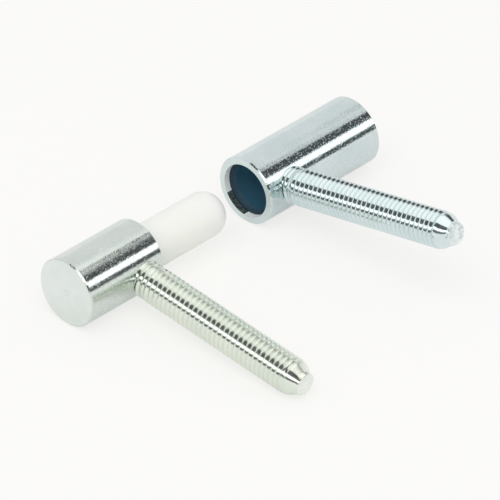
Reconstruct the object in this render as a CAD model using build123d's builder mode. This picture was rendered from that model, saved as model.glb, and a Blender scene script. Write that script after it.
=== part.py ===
"""Drill-in lift-off hinge: a frame half with a nylon pin, and a leaf half that lifts off it.

Millimetres, +Z up. The hinge lies on a table with its halves pulled apart along the pin axis,
which runs along X from the frame half to the leaf half. Both threaded shanks point towards -Y.
The origin is on the table, below the middle of the whole outline.
"""
import os
from math import asin, atan2, cos, degrees, hypot, radians, sin, tan

from build123d import *

# Knuckles: the turned steel barrels that meet on the pin axis.
knuckle_diameter = 15.0
frame_length = 20.5
leaf_length = 32.3
rim_chamfer = 0.3  # on every outer rim of a knuckle

# Nylon pin, seated in the frame knuckle.
pin_diameter = 9.86
pin_reach = 22.9  # from the frame knuckle's face to the end of the nose
pin_seat_depth = 13.0
pin_seat_clearance = 0.05  # radial
pin_end_play = 0.1  # between the pin's root and the floor of its seat
nose_flat_diameter = 1.6  # the small flat that carries the leaf half
pin_root_chamfer = 0.5

# Bore of the leaf knuckle, from its mouth inwards.
bearing_clearance = 0.06  # radial, pin to bearing bore
mouth_diameter = 11.85
mouth_depth = 1.4
lead_diameter = 11.3  # the lead-in cone starts here, on the floor of the mouth
lead_angle = 30.0  # each side of the axis
closed_gap = 0.5  # left between the two knuckles when the nose bears on the bore's floor
nose_play = 0.1  # between nose and bore floor in the model's closed position

# Threaded shanks. Lengths along a shank start at the pin axis.
thread_diameter = 7.9
frame_thread_reach = 47.7  # to the last full turn of the thread
leaf_thread_reach = 49.0
shank_root = 5.8  # where the shank ends inside the knuckle's wall
neck_diameter = 7.5  # the plain neck that sits in the knuckle's wall
neck_show = 0.2  # how far the neck stands out before the thread starts
neck_seat_clearance = 0.02  # radial
point_angle = 22.5  # of the cone at the tip, each side of the axis
point_diameter = 4.9  # where the cone ends
point_land = 0.3  # the short plain end beyond the cone
point_rounding = 0.25
frame_shank_inset = 4.9  # shank axis from the frame knuckle's pin face
leaf_shank_inset = 7.0  # shank axis from the leaf knuckle's mouth

# How the hinge lies on the table.
halves_apart = 31.2  # from the frame knuckle's pin face to the leaf knuckle's mouth
leaf_raise = 12.7  # degrees that the leaf shank stands above the level

# Sizes that follow from those above.
knuckle_radius = knuckle_diameter / 2
pin_radius = pin_diameter / 2
thread_radius = thread_diameter / 2
thread_start = knuckle_radius + neck_show
neck_radius = neck_diameter / 2
point_radius = point_diameter / 2
bearing_radius = pin_radius + bearing_clearance
bore_depth = pin_reach - closed_gap + nose_play
lead_depth = (lead_diameter / 2 - bearing_radius) / tan(radians(lead_angle))
point_length = (thread_radius - point_radius) / tan(radians(point_angle)) + point_land

# The frame shank dips until the end of its thread touches the table that the knuckle lies on.
thread_rim = hypot(frame_thread_reach, thread_radius)
frame_dip = degrees(asin(knuckle_radius / thread_rim) - atan2(thread_radius, frame_thread_reach))


def reach_over_table(thread_reach, slope):
    """How far a shank at this slope in degrees reaches from the pin axis, measured along the table."""
    flat_radius = point_radius - point_rounding
    return (thread_reach + point_length) * cos(radians(slope)) + flat_radius * sin(radians(abs(slope)))


# The pin axis in the part's frame, and the two ends that meet on it.
front_reach = max(reach_over_table(frame_thread_reach, frame_dip), reach_over_table(leaf_thread_reach, leaf_raise))
axis_y = (front_reach - knuckle_radius) / 2
axis_z = knuckle_radius
frame_face_x = frame_length - (frame_length + halves_apart + leaf_length) / 2
leaf_mouth_x = frame_face_x + halves_apart

along_pin = Vector(1, 0, 0)
frame_out = Vector(0, -cos(radians(frame_dip)), -sin(radians(frame_dip)))
leaf_out = Vector(0, -cos(radians(leaf_raise)), sin(radians(leaf_raise)))
pin_axis = Axis((frame_face_x, axis_y, axis_z), along_pin)

# Each half has a plane through the pin axis: its X runs along the pin and its Z along the shank.
frame_half = Plane(origin=(frame_face_x, axis_y, axis_z), x_dir=along_pin, z_dir=frame_out)
leaf_half = Plane(origin=(leaf_mouth_x, axis_y, axis_z), x_dir=along_pin, z_dir=leaf_out)


# Frame knuckle: a short turned barrel, closed at its outer end, with the pin's seat in the other.
with BuildPart() as frame_knuckle:
    with BuildSketch(frame_half):
        with Locations((-frame_length, 0)):
            Rectangle(frame_length, knuckle_radius, align=(Align.MIN, Align.MIN))
    revolve(axis=pin_axis)
    rims = frame_knuckle.edges().filter_by(GeomType.CIRCLE)
    chamfer(rims, rim_chamfer)
    with BuildSketch(frame_half):
        with Locations((-pin_seat_depth, 0)):
            Rectangle(pin_seat_depth, pin_radius + pin_seat_clearance, align=(Align.MIN, Align.MIN))
    revolve(axis=pin_axis, mode=Mode.SUBTRACT)
    with BuildSketch(frame_half.offset(shank_root)):
        with Locations((-frame_shank_inset, 0)):
            Circle(neck_radius + neck_seat_clearance)
    extrude(amount=knuckle_radius, mode=Mode.SUBTRACT)

# Hinge pin: a solid nylon pin with a domed nose that carries the leaf half's weight.
with BuildPart() as hinge_pin:
    with BuildSketch(frame_half):
        with BuildLine():
            root_x = pin_end_play - pin_seat_depth
            nose_radius = pin_radius - nose_flat_diameter / 2
            dome_x = pin_reach - nose_radius
            Polyline((dome_x, pin_radius), (root_x + pin_root_chamfer, pin_radius))
            Polyline((root_x + pin_root_chamfer, pin_radius), (root_x, pin_radius - pin_root_chamfer), (root_x, 0))
            Polyline((root_x, 0), (pin_reach, 0), (pin_reach, nose_flat_diameter / 2))
            CenterArc((dome_x, nose_flat_diameter / 2), nose_radius, 0, 90)
        make_face()
    revolve(axis=pin_axis)

# Leaf knuckle: the longer barrel, with a counterbored mouth, a lead-in cone and a blind bearing bore.
with BuildPart() as leaf_knuckle:
    with BuildSketch(leaf_half):
        Rectangle(leaf_length, knuckle_radius, align=(Align.MIN, Align.MIN))
    revolve(axis=pin_axis)
    rims = leaf_knuckle.edges().filter_by(GeomType.CIRCLE)
    chamfer(rims, rim_chamfer)
    with BuildSketch(leaf_half):
        with BuildLine():
            Polyline(
                (0, 0),
                (0, mouth_diameter / 2),
                (mouth_depth, mouth_diameter / 2),
                (mouth_depth, lead_diameter / 2),
                (mouth_depth + lead_depth, bearing_radius),
                (bore_depth, bearing_radius),
                (bore_depth, 0),
                close=True,
            )
        make_face()
    revolve(axis=pin_axis, mode=Mode.SUBTRACT)
    with BuildSketch(leaf_half.offset(shank_root)):
        with Locations((leaf_shank_inset, 0)):
            Circle(neck_radius + neck_seat_clearance)
    extrude(amount=knuckle_radius, mode=Mode.SUBTRACT)


def shank_section(thread_reach):
    """Half section of a shank: X runs outwards from the pin axis, Y is the radius."""
    tip = thread_reach + point_length
    with BuildSketch(mode=Mode.PRIVATE) as section:
        with BuildLine():
            Polyline(
                (shank_root, 0),
                (shank_root, neck_radius),
                (thread_start, neck_radius),
                (thread_start, thread_radius),
                (thread_reach, thread_radius),
                (tip - point_land, point_radius),
                (tip, point_radius),
                (tip, 0),
                close=True,
            )
        make_face()
        corner = section.vertices().sort_by(Axis.X)[-2:].sort_by(Axis.Y)[-1]
        fillet(corner, point_rounding)
    return section.sketch


# Frame shank: a threaded stud with a coned point, its neck seated in the frame knuckle's wall.
frame_foot = frame_half.from_local_coords((-frame_shank_inset, 0, 0))
with BuildPart() as frame_shank:
    with BuildSketch(Plane(origin=frame_foot, x_dir=frame_out, z_dir=along_pin)):
        add(shank_section(frame_thread_reach))
    revolve(axis=Axis(frame_foot, frame_out))

# Leaf shank: the same form, seated in the leaf knuckle's wall.
leaf_foot = leaf_half.from_local_coords((leaf_shank_inset, 0, 0))
with BuildPart() as leaf_shank:
    with BuildSketch(Plane(origin=leaf_foot, x_dir=leaf_out, z_dir=along_pin)):
        add(shank_section(leaf_thread_reach))
    revolve(axis=Axis(leaf_foot, leaf_out))


pieces = {
    "frame_knuckle": frame_knuckle,
    "frame_shank": frame_shank,
    "hinge_pin": hinge_pin,
    "leaf_knuckle": leaf_knuckle,
    "leaf_shank": leaf_shank,
}

os.makedirs("parts", exist_ok=True)
for name, piece in pieces.items():
    piece.part.label = name
    export_step(piece.part, f"parts/{name}.step")
    size = piece.part.bounding_box().size
    print(f"{name}: {size.X:.2f} x {size.Y:.2f} x {size.Z:.2f} mm, {piece.part.volume:.0f} mm3")

print(f"frame shank dips {frame_dip:.2f} degrees; pin axis at y {axis_y:.3f}, z {axis_z:.3f}")
print(f"frame face at x {frame_face_x:.3f}, leaf mouth at x {leaf_mouth_x:.3f}")
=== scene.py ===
"""Looks of the drill-in hinge: zinc plated knuckles and threaded shanks, and a milky nylon pin.

The two halves lie on a pale floor, in a studio whose light and dark bands show in the metal.
"""
from math import cos, pi, radians, sin

import bmesh
import bpy
import numpy as np
from mathutils import Matrix, Vector


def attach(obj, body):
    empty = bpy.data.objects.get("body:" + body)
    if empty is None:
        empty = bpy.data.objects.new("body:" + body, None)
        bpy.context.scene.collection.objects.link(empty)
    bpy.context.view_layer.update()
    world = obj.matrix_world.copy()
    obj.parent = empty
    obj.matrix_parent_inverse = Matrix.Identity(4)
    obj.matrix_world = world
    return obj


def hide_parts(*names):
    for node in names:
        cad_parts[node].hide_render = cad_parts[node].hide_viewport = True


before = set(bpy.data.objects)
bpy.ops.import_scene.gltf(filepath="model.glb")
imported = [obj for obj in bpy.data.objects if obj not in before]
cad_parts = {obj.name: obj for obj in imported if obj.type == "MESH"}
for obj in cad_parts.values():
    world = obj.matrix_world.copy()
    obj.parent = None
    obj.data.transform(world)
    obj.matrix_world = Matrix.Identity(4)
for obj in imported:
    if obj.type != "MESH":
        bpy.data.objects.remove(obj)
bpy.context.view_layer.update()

# Lengths are in millimetres, and MM turns them into metres. X runs along the pin axis.
MM = 0.001
PIN_Y, PIN_Z = 22.305, 7.5
FRAME_END_X = -42.0
LEAF_MOUTH_X = 9.7

# Shanks, which point out from a foot on the pin axis
SHANKS = {
    "frame": {
        "foot": (-26.4, PIN_Y, PIN_Z),
        "out": (0, -0.99720945, -0.07465456),
        "reach": 47.7,  # from the foot to the end of the full thread
        "turn": 0.15,  # of the thread about the shank, as a share of a whole turn
    },
    "leaf": {
        "foot": (16.7, PIN_Y, PIN_Z),
        "out": (0, -0.97553454, 0.2198462),
        "reach": 49.0,
        "turn": 0.55,
    },
}
SHANK_ROOT = 5.8  # from the foot to the start of the shank, in the knuckle's wall

# Thread, with the corners of its profile: share of a pitch past the middle of a crest, share of the height
PITCH = 1.25
CREST_R, ROOT_R = 3.94, 3.56
THREAD_CORNERS = [(0.08, 1), (0.56, 0), (0.72, 0), (0.92, 1)]
CORNER_ROUND = 0.08

# Start of the thread, shallow beside the neck and deeper over its run-in, the crest in half that length
THREAD_START, RUN_IN = 8.8, 3.25
FIRST_CREST_R, FIRST_ROOT_R = 3.78, 3.72

# Neck with two pressed beads: middle of a bead from the pin axis, half its width, its height
NECK_R = 3.65
BEADS = [(6.86, 0.7, 0.27), (8.08, 0.6, 0.27)]

# Tip, from the end of the full thread: a run-out groove, a rounded shoulder and a short stub
TIP_CORNERS = [(0, 3.93), (1.2, 3.67), (3.3, 2.45)]
TIP_ROUND = 0.8
TIP_GROOVE = (0.5, 0.3, -0.14)
TIP_LENGTH, POINT_ROUND = 3.92, 0.25

# Marks on a shank: how far past the full thread its roots get painted shade, and how thin its end face is
ROOT_SHADE_END, END_SKIN = 0.5, 1e-6

# Points of a shank's mesh: around it, and along one pitch, closest at the bends of the profile
SEGMENTS = 84
BEND_STEPS = (-0.5, -0.25, 0, 0.25, 0.5)
BEND_ROWS = [corner + step * CORNER_ROUND for corner, _ in THREAD_CORNERS for step in BEND_STEPS]
ROWS = sorted(BEND_ROWS + [0, 0.19, 0.25, 0.32, 0.39, 0.45, 0.64, 0.82])
ROUNDING_SAMPLES = 9
WELD = 0.0002  # points nearer than this become one

# Plating, with the cells of its textures per metre
CLOUDS, END_MOTTLE, SPECKS, PITS = 130, 800, 2600, 4800
SPECK_GREY = (0.42, 0.46, 0.46)
PIT_DEPTH = 0.011
# Share of painted shade laid in the roots of a shank's thread
ROOT_SHADE_SHARE = 0.65
DULL_ROUGHNESS = 0.31
KNUCKLE_FINISH = {
    "frame": {
        "pale": (0.68, 0.74, 0.71),
        "deep": (0.74, 0.79, 0.76),
        "grain": 1.0,
        "smooth": 0.04,
        "face_x": FRAME_END_X,
        "face": ((0.755, 0.82, 0.775), (0.82, 0.865, 0.845)),
    },
    "leaf": {
        "pale": (0.64, 0.73, 0.74),
        "deep": (0.71, 0.79, 0.8),
        "grain": 1.0,
        "smooth": 0.04,
        "face_x": LEAF_MOUTH_X,
        "face": ((0.66, 0.76, 0.76), (0.72, 0.81, 0.81)),
        "bore": True,
    },
}
# A shank's roots colour is painted shade in the roots of its thread
SHANK_FINISH = {
    "frame": {
        "pale": (0.8, 0.86, 0.77),
        "deep": (0.88, 0.91, 0.82),
        "grain": 0.25,
        "smooth": 0.13,
        "roots": (0.65, 0.73, 0.62),
        "end": ((0.78, 0.83, 0.77), (0.9, 0.93, 0.88)),
        "dull": True,
    },
    "leaf": {
        "pale": (0.7, 0.81, 0.82),
        "deep": (0.79, 0.88, 0.89),
        "grain": 0.25,
        "smooth": 0.12,
        "roots": (0.5, 0.63, 0.65),
        "end": ((0.52, 0.58, 0.59), (0.86, 0.93, 0.93)),
    },
}

# Turned end face of a knuckle, and the faint ring that the turning left at its centre
FACE_SKIN = 0.02
MARK_RADIUS, MARK_HALF_WIDTH, MARK_SHARE = 0.6, 0.13, 0.2
MARK_GREY = (0.5, 0.54, 0.52)

# Inside of the leaf knuckle, short of its closed end
INSIDE_R, INSIDE_END_X = 5.95, 41.5

# Wall of its mouth, between two depths behind the face: pale matte, a painted bright reflection, with a dark
# patch at an angle about the pin axis, a painted dark reflection
WALL_START, WALL_END = 0.02, 1.36
WALL_COLOUR, WALL_ROUGHNESS = (0.97, 1.0, 1.0), 0.5
PATCH_ANGLE, PATCH_HALF_ANGLE = radians(-59), radians(29)
PAINTED_REFLECTION_COLOURS = (0.02, 0.03, 0.03), (0.13, 0.16, 0.15)

# Bore behind that wall, whose colour changes with its depth: blue passivation darkened with painted shade,
# darkest just behind the wall and lighter deeper in
FADE_DEPTH = 12
FADE = [
    (0.12, (0.007, 0.034, 0.055)),
    (0.2, (0.014, 0.064, 0.105)),
    (0.23, (0.03, 0.12, 0.19)),
    (0.9, (0.1, 0.3, 0.45)),
]
BORE_ROUGHNESS = 0.6

# Nylon, with the cells of its textures per metre, and how far light scatters in it
NYLON_PALE, NYLON_DEEP = (0.95, 0.98, 0.89), (0.925, 0.96, 0.865)
NYLON_CLOUDS, NYLON_SKIN = 160, 2200
SKIN_DEPTH = 0.01
SCATTER = 6.0

# Rings of the studio's tent: rows of points from foot to top, and degrees from a point to the next
RING_ROWS, RING_STEP = 9, 3


def nodes_of(mat):
    mat.use_nodes = True
    mat.node_tree.nodes.clear()
    return mat.node_tree


def add_node(tree, kind, **settings):
    node = tree.nodes.new(kind)
    for key, value in settings.items():
        if key in node.inputs:
            node.inputs[key].default_value = value
        else:
            setattr(node, key, value)
    return node


def calc(tree, operation, a, b=0.0):
    node = add_node(tree, "ShaderNodeMath", operation=operation)
    for socket, value in zip(node.inputs, (a, b)):
        if isinstance(value, (int, float)):
            socket.default_value = value
        else:
            tree.links.new(value, socket)
    return node.outputs[0]


def near(tree, value, middle, reach):
    """1 where a value lies within reach of the middle, 0 elsewhere."""
    return calc(tree, "LESS_THAN", calc(tree, "ABSOLUTE", calc(tree, "SUBTRACT", value, middle)), reach)


def ramp(tree, value, *stops):
    node = tree.nodes.new("ShaderNodeValToRGB")
    points = node.color_ramp.elements
    while len(points) < len(stops):
        points.new(0.5)
    for point, (at, colour) in zip(points, stops):
        point.position = at
        point.color = (*colour, 1) if isinstance(colour, tuple) else (colour, colour, colour, 1)
    tree.links.new(value, node.inputs["Fac"])
    return node.outputs["Color"]


def noise(tree, place, scale, detail=3.0, roughness=0.5):
    node = add_node(tree, "ShaderNodeTexNoise", Scale=scale, Detail=detail, Roughness=roughness)
    tree.links.new(place, node.inputs["Vector"])
    return node.outputs["Fac"]


def mix(tree, factor, a, b):
    node = add_node(tree, "ShaderNodeMix", data_type="RGBA")
    for socket, value in zip((node.inputs[0], node.inputs[6], node.inputs[7]), (factor, a, b)):
        if isinstance(value, tuple):
            socket.default_value = (*value, 1)
        else:
            tree.links.new(value, socket)
    return node.outputs[2]


def attribute(tree, name):
    return add_node(tree, "ShaderNodeAttribute", attribute_name=name).outputs["Fac"]


def bump(tree, height, distance, strength):
    node = add_node(tree, "ShaderNodeBump", Strength=strength, Distance=distance)
    tree.links.new(height, node.inputs["Height"])
    return node.outputs["Normal"]


def connect(tree, shader, socket, value):
    tree.links.new(value, shader.inputs[socket])


def output(tree, shader, kind="ShaderNodeOutputMaterial"):
    out = add_node(tree, kind)
    tree.links.new(shader.outputs[0], out.inputs["Surface"])


def about_pin_axis(tree, place):
    """X of a point, its Y and Z from the pin axis, and its radius about that axis."""
    split = add_node(tree, "ShaderNodeSeparateXYZ")
    tree.links.new(place, split.inputs[0])
    y = calc(tree, "SUBTRACT", split.outputs["Y"], PIN_Y * MM)
    z = calc(tree, "SUBTRACT", split.outputs["Z"], PIN_Z * MM)
    squares = calc(tree, "ADD", calc(tree, "MULTIPLY", y, y), calc(tree, "MULTIPLY", z, z))
    return split.outputs["X"], y, z, calc(tree, "SQRT", squares)


def dull_top(tree, rough):
    """Roughness of plating that is cloudy along the top."""
    normal = add_node(tree, "ShaderNodeSeparateXYZ")
    tree.links.new(add_node(tree, "ShaderNodeTexCoord").outputs["Normal"], normal.inputs[0])
    upwards = ramp(tree, normal.outputs["Z"], (0.73, 0.0), (0.81, 1.0))
    return mix(tree, upwards, rough, (DULL_ROUGHNESS,) * 3)


def bored(tree, at, specks, colour, metal, rough):
    """Colour, metal and roughness with the dark blue bore, partly painted shade, and the mouth's wall, pale
    as a painted bright reflection, with a dark patch of painted reflection.
    """
    x, y, z, radius = at
    deep_in = calc(tree, "SUBTRACT", x, LEAF_MOUTH_X * MM)
    before_end = calc(tree, "LESS_THAN", x, INSIDE_END_X * MM)
    hollow = calc(tree, "MULTIPLY", calc(tree, "LESS_THAN", radius, INSIDE_R * MM), before_end)
    inside = calc(tree, "MULTIPLY", hollow, calc(tree, "GREATER_THAN", deep_in, WALL_END * MM))
    behind_face = calc(tree, "GREATER_THAN", deep_in, WALL_START * MM)
    wall = calc(tree, "MULTIPLY", calc(tree, "SUBTRACT", hollow, inside), behind_face)
    patch = near(tree, calc(tree, "ARCTAN2", z, y), PATCH_ANGLE, PATCH_HALF_ANGLE)
    # Painted dark reflection: a mottled dark patch on the mouth's pale wall, which is itself a painted
    # bright reflection
    painted_dark_reflection = ramp(tree, specks, (0.4, PAINTED_REFLECTION_COLOURS[0]), (0.65, PAINTED_REFLECTION_COLOURS[1]))
    colour = mix(tree, wall, colour, mix(tree, patch, WALL_COLOUR, painted_dark_reflection))
    # Dark blue of the bore: blue passivation with painted shade, darkest just behind the wall
    colour = mix(tree, inside, colour, ramp(tree, calc(tree, "DIVIDE", deep_in, FADE_DEPTH * MM), *FADE))
    plated = calc(tree, "SUBTRACT", 1.0, calc(tree, "MAXIMUM", inside, wall))
    metal = calc(tree, "MULTIPLY", plated, metal)
    rough = mix(tree, wall, mix(tree, inside, rough, (BORE_ROUGHNESS,) * 3), (WALL_ROUGHNESS,) * 3)
    return colour, metal, rough


def zinc(name, pale, deep, grain, smooth, roots=None, end=None, dull=False, face=None, face_x=0, bore=False):
    """Bright zinc plating: cloudy passivation tints over a finely granular surface.

    A shank has painted shade for the roots of its thread, and a tint for its end.
    A knuckle has tints for its turned face at face_x, and may have a bore behind it.
    """
    mat = bpy.data.materials.new(name)
    tree = nodes_of(mat)
    place = add_node(tree, "ShaderNodeTexCoord").outputs["Object"]
    clouds = ramp(tree, noise(tree, place, CLOUDS, detail=4, roughness=0.6), (0.35, 0.0), (0.65, 1.0))
    specks = noise(tree, place, SPECKS, detail=2, roughness=0.6)
    colour = mix(tree, clouds, pale, deep)
    colour = mix(tree, ramp(tree, specks, (0.35, 0.16), (0.6, 0.0)), colour, SPECK_GREY)
    rough = ramp(tree, specks, (0.5, smooth), (0.68, smooth + 0.2 * grain))
    metal = ramp(tree, specks, (0.53, 1.0), (0.67, 1.0 - 0.36 * grain))
    # Painted shade in the roots of the thread
    if roots:
        colour = mix(tree, calc(tree, "MULTIPLY", attribute(tree, "root"), ROOT_SHADE_SHARE), colour, roots)
    if end:
        mottle = noise(tree, place, END_MOTTLE, detail=4, roughness=0.7)
        mottled = ramp(tree, mottle, (0.38, end[0]), (0.56, end[1]))
        colour = mix(tree, attribute(tree, "end"), colour, mottled)
    if dull:
        rough = dull_top(tree, rough)
    if face:
        x, y, z, radius = about_pin_axis(tree, place)
        on_face = near(tree, x, face_x * MM, FACE_SKIN * MM)
        mark = near(tree, radius, MARK_RADIUS * MM, MARK_HALF_WIDTH * MM)
        turned = mix(tree, calc(tree, "MULTIPLY", mark, MARK_SHARE), mix(tree, clouds, *face), MARK_GREY)
        colour = mix(tree, on_face, colour, turned)
        metal = calc(tree, "MAXIMUM", metal, on_face)
        if bore:
            colour, metal, rough = bored(tree, (x, y, z, radius), specks, colour, metal, rough)
    pits = noise(tree, place, PITS, detail=1, roughness=0.4)
    shader = add_node(tree, "ShaderNodeBsdfPrincipled", Metallic=1.0)
    connect(tree, shader, "Base Color", colour)
    connect(tree, shader, "Metallic", metal)
    connect(tree, shader, "Roughness", rough)
    connect(tree, shader, "Normal", bump(tree, pits, PIT_DEPTH * MM, grain))
    output(tree, shader)
    return mat


def nylon(name):
    """Milky, slightly translucent moulded nylon with a satin skin."""
    mat = bpy.data.materials.new(name)
    tree = nodes_of(mat)
    place = add_node(tree, "ShaderNodeTexCoord").outputs["Object"]
    clouds = noise(tree, place, NYLON_CLOUDS)
    skin = noise(tree, place, NYLON_SKIN, detail=2)
    shader = add_node(tree, "ShaderNodeBsdfPrincipled")
    shader.inputs["Subsurface Weight"].default_value = 0.9
    shader.inputs["Subsurface Radius"].default_value = (1.0, 0.95, 0.8)
    shader.inputs["Subsurface Scale"].default_value = SCATTER * MM
    connect(tree, shader, "Base Color", ramp(tree, clouds, (0.35, NYLON_DEEP), (0.65, NYLON_PALE)))
    connect(tree, shader, "Roughness", ramp(tree, skin, (0.3, 0.34), (0.7, 0.46)))
    connect(tree, shader, "Normal", bump(tree, skin, SKIN_DEPTH * MM, 0.25))
    output(tree, shader)
    return mat


def glow(name, colour, strength):
    mat = bpy.data.materials.new(name)
    tree = nodes_of(mat)
    output(tree, add_node(tree, "ShaderNodeEmission", Color=(*colour, 1), Strength=strength))
    return mat


def two_shaders(tree, share, first, second):
    both = add_node(tree, "ShaderNodeMixShader")
    for value, socket in zip((share, first.outputs[0], second.outputs[0]), both.inputs):
        tree.links.new(value, socket)
    return both


def add_object(name, data):
    piece = bpy.data.objects.new(name, data)
    bpy.context.scene.collection.objects.link(piece)
    return piece


def rounded(x, corners, window):
    """Height at x of the line through the corners, with its bends rounded over a window."""
    shifts = np.linspace(-0.5, 0.5, ROUNDING_SAMPLES) * window
    return sum(np.interp(x + shift, *zip(*corners)) for shift in shifts) / len(shifts)


def bead(x, middle, half_width, height):
    """A smooth swelling, or a groove where its height is negative."""
    return height * np.cos(np.clip((x - middle) / half_width, -1, 1) * pi / 2) ** 2


def shank_radius(along, phase, reach):
    """Radius of the shank at a distance from the pin axis and a phase of the helix, in millimetres."""
    run_in = np.clip((along - THREAD_START) / RUN_IN, 0, 1)
    root = FIRST_ROOT_R + (ROOT_R - FIRST_ROOT_R) * run_in
    crest = FIRST_CREST_R + (CREST_R - FIRST_CREST_R) * np.clip(run_in * 2, 0, 1)
    thread = root + (crest - root) * rounded(phase % 1.0, THREAD_CORNERS, CORNER_ROUND)
    neck = NECK_R + sum(bead(along, *each) for each in BEADS)
    past = along - reach
    tip = rounded(past, TIP_CORNERS, TIP_ROUND) + bead(past, *TIP_GROOVE)
    inset = np.clip(past - (TIP_LENGTH - POINT_ROUND), 0, POINT_ROUND)
    rounding = POINT_ROUND - np.sqrt(POINT_ROUND ** 2 - inset ** 2)
    return np.minimum(np.where(along < THREAD_START, neck, thread), tip) - rounding


def helix_faces(rows):
    """Faces between points in rows. A row's last point is joined to the start of the row one pitch on."""
    per_pitch = len(ROWS)
    index = np.arange(rows * SEGMENTS).reshape(rows, SEGMENTS).tolist()
    faces = []
    for j in range(rows - 1):
        row, after = index[j], index[j + 1]
        faces += [(row[i], row[i + 1], after[i + 1], after[i]) for i in range(SEGMENTS - 1)]
        if j + per_pitch + 1 < rows:
            faces.append((row[-1], index[j + per_pitch][0], index[j + per_pitch + 1][0], after[-1]))
    return faces


def weld_and_close(mesh):
    work = bmesh.new()
    work.from_mesh(mesh)
    bmesh.ops.remove_doubles(work, verts=work.verts, dist=WELD * MM)
    bmesh.ops.dissolve_degenerate(work, dist=WELD * MM, edges=work.edges)
    loose = [v for v in work.verts if not v.link_faces]
    bmesh.ops.delete(work, geom=loose, context="VERTS")
    rim = [e for e in work.edges if e.is_boundary]
    bmesh.ops.holes_fill(work, edges=rim, sides=0)
    bmesh.ops.recalc_face_normals(work, faces=work.faces)
    work.to_mesh(mesh)
    work.free()


def threaded_shank(name, foot, out, reach, turn):
    """A shank as one closed mesh whose rows follow the helix, so that crests and roots stay crisp."""
    out = Vector(out).normalized()
    side = Vector((1, 0, 0))
    axes = np.array([side, out.cross(side), out])
    tip = reach + TIP_LENGTH
    turns = range(int(SHANK_ROOT / PITCH) - 2, int(tip / PITCH) + 2)
    phases = np.array([k + p for k in turns for p in ROWS])
    theta = np.arange(SEGMENTS) / SEGMENTS
    along = np.clip((phases[:, None] + theta[None, :]) * PITCH, SHANK_ROOT, tip)
    radius = shank_radius(along, along / PITCH - theta[None, :], reach)
    angle = (theta + turn) * 2 * pi
    local = np.stack([radius * np.cos(angle), radius * np.sin(angle), along], axis=-1)
    points = (np.array(foot) + local @ axes) * MM
    mesh = bpy.data.meshes.new(name)
    mesh.from_pydata(points.reshape(-1, 3).tolist(), [], helix_faces(len(phases)))
    # Depth towards the thread's roots, where painted shade is laid
    depth = np.clip((CREST_R - radius) / (CREST_R - ROOT_R), 0, 1) * (along < reach + ROOT_SHADE_END)
    for key, values in (("root", depth), ("end", along >= tip - END_SKIN)):
        layer = mesh.attributes.new(key, "FLOAT", "POINT")
        layer.data.foreach_set("value", values.reshape(-1).astype(np.float32))
    weld_and_close(mesh)
    mesh.polygons.foreach_set("use_smooth", [True] * len(mesh.polygons))
    return add_object(name, mesh)


def ring(name, stops, material, distance):
    """A band of the tent, from stops of azimuth, lowest and highest elevation, at a distance in metres."""
    azimuths, lows, highs = (np.array(v, float) for v in zip(*stops))
    steps = np.linspace(azimuths[0], azimuths[-1], int(abs(azimuths[-1] - azimuths[0]) / RING_STEP) + 2)
    order = np.argsort(azimuths)
    low, high = (np.interp(steps, azimuths[order], edge[order]) for edge in (lows, highs))
    shares = np.linspace(0, 1, RING_ROWS)
    rows = [(a, e) for share in shares for a, e in zip(steps, low + (high - low) * share)]
    points = [(distance * cos(radians(e)) * cos(radians(a)), distance * cos(radians(e)) * sin(radians(a)),
               PIN_Z * MM + distance * sin(radians(e))) for a, e in rows]
    n = len(steps)
    corners = (0, 1, n + 1, n)
    faces = [tuple(k * n + i + c for c in corners) for k in range(RING_ROWS - 1) for i in range(n - 1)]
    mesh = bpy.data.meshes.new(name)
    mesh.from_pydata(points, [], faces)
    mesh.materials.append(material)
    piece = add_object(name, mesh)
    piece.visible_camera = False
    piece.visible_diffuse = False
    piece.visible_shadow = False


# Materials of the CAD nodes that stay
steels = {f"{body}_knuckle": zinc(f"zinc_{body}_knuckle", **look) for body, look in KNUCKLE_FINISH.items()}
for node, mat in (*steels.items(), ("hinge_pin", nylon("nylon_milky"))):
    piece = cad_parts[node]
    piece.data.materials.clear()
    piece.data.materials.append(mat)

# Threaded shanks
for body, shank in SHANKS.items():
    piece = threaded_shank(f"{body}_shank_thread", **shank)
    piece.data.materials.append(zinc(f"zinc_{body}_shank", **SHANK_FINISH[body]))
    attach(piece, body)
    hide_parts(f"{body}_shank")

# Camera at the photograph's angle, with the pixel where it sees the centre of the frame half's closed end
IMAGE_WIDTH, SENSOR_WIDTH = 500, 36.0
FOCAL_PX, PX_PER_MM = 7078.0, 4.991
END_PX_X, END_PX_Y = 66.191, 293.163
azimuth, elevation, roll = radians(-46.9), radians(35.073), radians(1.504)
forward = Vector((-sin(azimuth) * cos(elevation), cos(azimuth) * cos(elevation), -sin(elevation)))
right = Vector((cos(azimuth), sin(azimuth), 0))
up = right.cross(forward)
right, up = cos(roll) * right + sin(roll) * up, cos(roll) * up - sin(roll) * right
end = Vector((FRAME_END_X, PIN_Y, PIN_Z))
away = FOCAL_PX / PX_PER_MM
middle = IMAGE_WIDTH / 2
seen = Vector(((END_PX_X - middle) / FOCAL_PX * away, (middle - END_PX_Y) / FOCAL_PX * away, -away))
facing = Matrix((right, up, -forward)).transposed()
camera_data = bpy.data.cameras.new("camera")
camera_data.sensor_fit = "HORIZONTAL"
camera_data.sensor_width = SENSOR_WIDTH
camera_data.lens = FOCAL_PX / IMAGE_WIDTH * SENSOR_WIDTH
camera_data.clip_start = 0.05
camera_data.clip_end = 30.0
camera = add_object("camera", camera_data)
camera.matrix_world = Matrix.Translation((end - facing @ seen) * MM) @ facing.to_4x4()
bpy.context.scene.camera = camera

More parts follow.
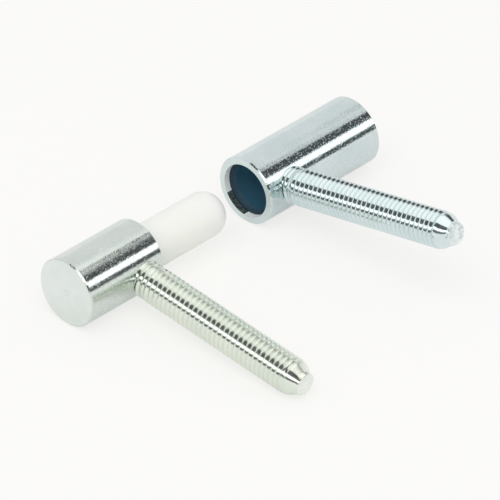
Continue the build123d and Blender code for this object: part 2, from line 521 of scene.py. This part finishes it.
# Floor: pale, and mostly its own colour where the camera or the metal sees it, with the shadow kept
FLOOR_HALF = 4
OWN_SHARE, MIRRORED_SHARE = 0.72, 0.45
floor_mat = bpy.data.materials.new("floor_pale")
tree = nodes_of(floor_mat)
paths = add_node(tree, "ShaderNodeLightPath").outputs
mirrored = calc(tree, "MULTIPLY", paths["Is Glossy Ray"], MIRRORED_SHARE)
seen_by = calc(tree, "MAXIMUM", paths["Is Camera Ray"],
               calc(tree, "MAXIMUM", mirrored, paths["Is Transmission Ray"]))
matte = add_node(tree, "ShaderNodeBsdfDiffuse", Color=(0.95, 0.945, 0.935, 1))
own = add_node(tree, "ShaderNodeEmission", Color=(0.995, 0.988, 0.97, 1), Strength=1.0)
output(tree, two_shaders(tree, calc(tree, "MULTIPLY", seen_by, OWN_SHARE), matte, own))
floor_mesh = bpy.data.meshes.new("floor")
floor_corners = [(x * FLOOR_HALF, y * FLOOR_HALF, 0) for x, y in ((-1, -1), (1, -1), (1, 1), (-1, 1))]
floor_mesh.from_pydata(floor_corners, [], [(0, 1, 2, 3)])
floor_mesh.materials.append(floor_mat)
floor = add_object("floor", floor_mesh)

# World: white where it is seen, plain light on what is matte
world = bpy.data.worlds.new("studio")
bpy.context.scene.world = world
tree = nodes_of(world)
paths = add_node(tree, "ShaderNodeLightPath").outputs
seen_by = calc(tree, "MAXIMUM", calc(tree, "MAXIMUM", paths["Is Camera Ray"], paths["Is Glossy Ray"]),
               paths["Is Transmission Ray"])
lit_sky = add_node(tree, "ShaderNodeBackground", Color=(1, 1, 1, 1), Strength=0.7)
seen_sky = add_node(tree, "ShaderNodeBackground", Color=(0.975, 0.972, 0.96, 1), Strength=1.0)
output(tree, two_shaders(tree, seen_by, lit_sky, seen_sky), "ShaderNodeOutputWorld")

# Studio: a tent round the object, which the metal mirrors. A white band lies between two dark ones.
tent = {name: glow(f"tent_{name}", colour, strength) for name, colour, strength in (
    ("dark", (0.085, 0.09, 0.095), 1.0),
    ("low_dark", (0.1, 0.11, 0.11), 1.0),
    ("grey", (0.55, 0.57, 0.56), 1.0),
    ("bright", (1, 1, 1), 1.7),
    ("pale", (0.87, 0.87, 0.86), 1.0),
    ("top", (1, 1, 0.97), 1.2),
)}

# Azimuth, foot of the low dark band, its top, foot of the high dark band, its top, all in degrees
BANDS = [
    (26, 22, 22, 22, 43), (16, 22, 22, 22, 47), (8, 24, 24, 24, 48), (3, 34, 34, 34, 46),
    (-10, 38, 38, 38, 46), (-18.6, 38, 38, 38, 45.5), (-19.4, 38, 38, 38, 54), (-24, 22, 22, 36, 53),
    (-30, 8.5, 20, 35, 51), (-43, 8.5, 21, 35, 47), (-60, 8.5, 21, 36, 49), (-90, 5, 17, 33, 51),
    (-116, 3, 13, 30, 50), (-130, 3, 14, 30, 58), (-138, 3, 15, 30, 61), (-150, 4, 18, 35, 65),
    (-165, 10, 25, 40, 66), (-180, 10, 26, 41, 66), (-195, 9, 24, 39, 66), (-209, 8, 21, 37, 65),
    (-213, 8, 20.5, 36, 63),
]
LOW_BANDS = BANDS[:-2]

# A nearer ring hides the ones behind it
ring("ring_high", [(at, foot, top) for at, _, _, foot, top in BANDS], tent["dark"], 0.86)
ring("ring_white", [(at, foot, top) for at, _, foot, top, _ in BANDS], tent["bright"], 0.86)
ring("ring_low", [(at, foot, top) for at, foot, top, _, _ in LOW_BANDS], tent["low_dark"], 0.86)
ring("ring_left", [(-6, 53.5, 58), (-19.4, 50.5, 54.5)], tent["dark"], 0.855)
ring("ring_grey", [(-34, 47, 52), (-50, 47, 55), (-66, 49, 56)], tent["grey"], 0.87)
ring("ring_pale", [(180, 8.5, 58), (-180, 8.5, 58)], tent["pale"], 0.9)
ring("ring_top", [(180, 56, 90), (-180, 56, 90)], tent["top"], 0.88)

# Soft key light, which the metal doesn't mirror
key_data = bpy.data.lights.new("key", "AREA")
key_data.shape = "RECTANGLE"
key_data.size = 1.2
key_data.size_y = 0.8
key_data.energy = 5.0
key = add_object("key", key_data)
key.location = (-0.5, -0.3, 1.1)
key.rotation_euler = (Vector((0, 0, 0)) - key.location).to_track_quat("-Z", "Y").to_euler()
key.visible_glossy = False

bpy.context.scene.view_settings.view_transform = "Standard"
